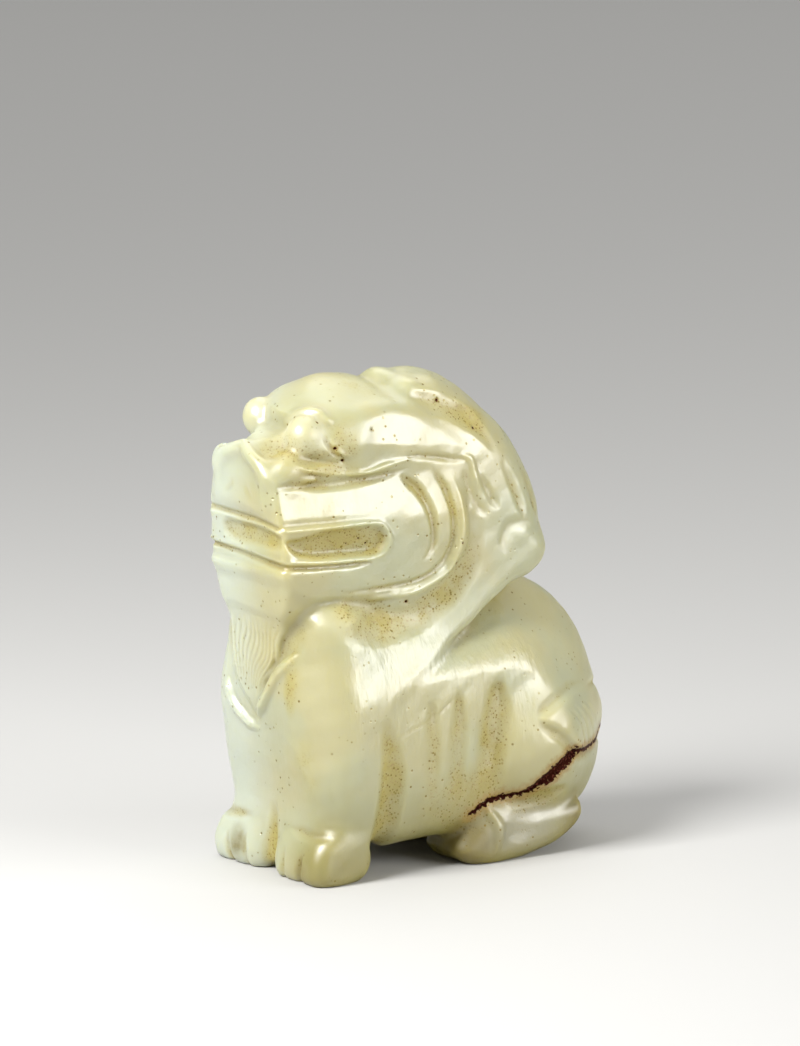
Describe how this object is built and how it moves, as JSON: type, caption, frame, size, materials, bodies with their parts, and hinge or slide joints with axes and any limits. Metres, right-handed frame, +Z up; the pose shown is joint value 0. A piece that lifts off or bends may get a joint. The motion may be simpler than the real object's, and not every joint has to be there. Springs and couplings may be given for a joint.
{
  "type": "jade beast carving",
  "caption": "Small seated beast carved from pale green jade, with a square open muzzle, one broad horn swept back over the mane, a long beard and a tail over its left hip, standing on four flat soles.",
  "frame": {"origin": "middle of the bottom of the bounding box, on the surface that the figure stands on", "axes": "+Z up; the beast faces -Y; its left side, where the tail lies, is +X"},
  "size_m": [0.0222, 0.0396, 0.0455],
  "materials": {
    "jade": "polished, slightly translucent pale green nephrite with tan staining in the recesses"
  },
  "bodies": {
    "root": {"carving": "jade"}
  },
  "joints": []
}
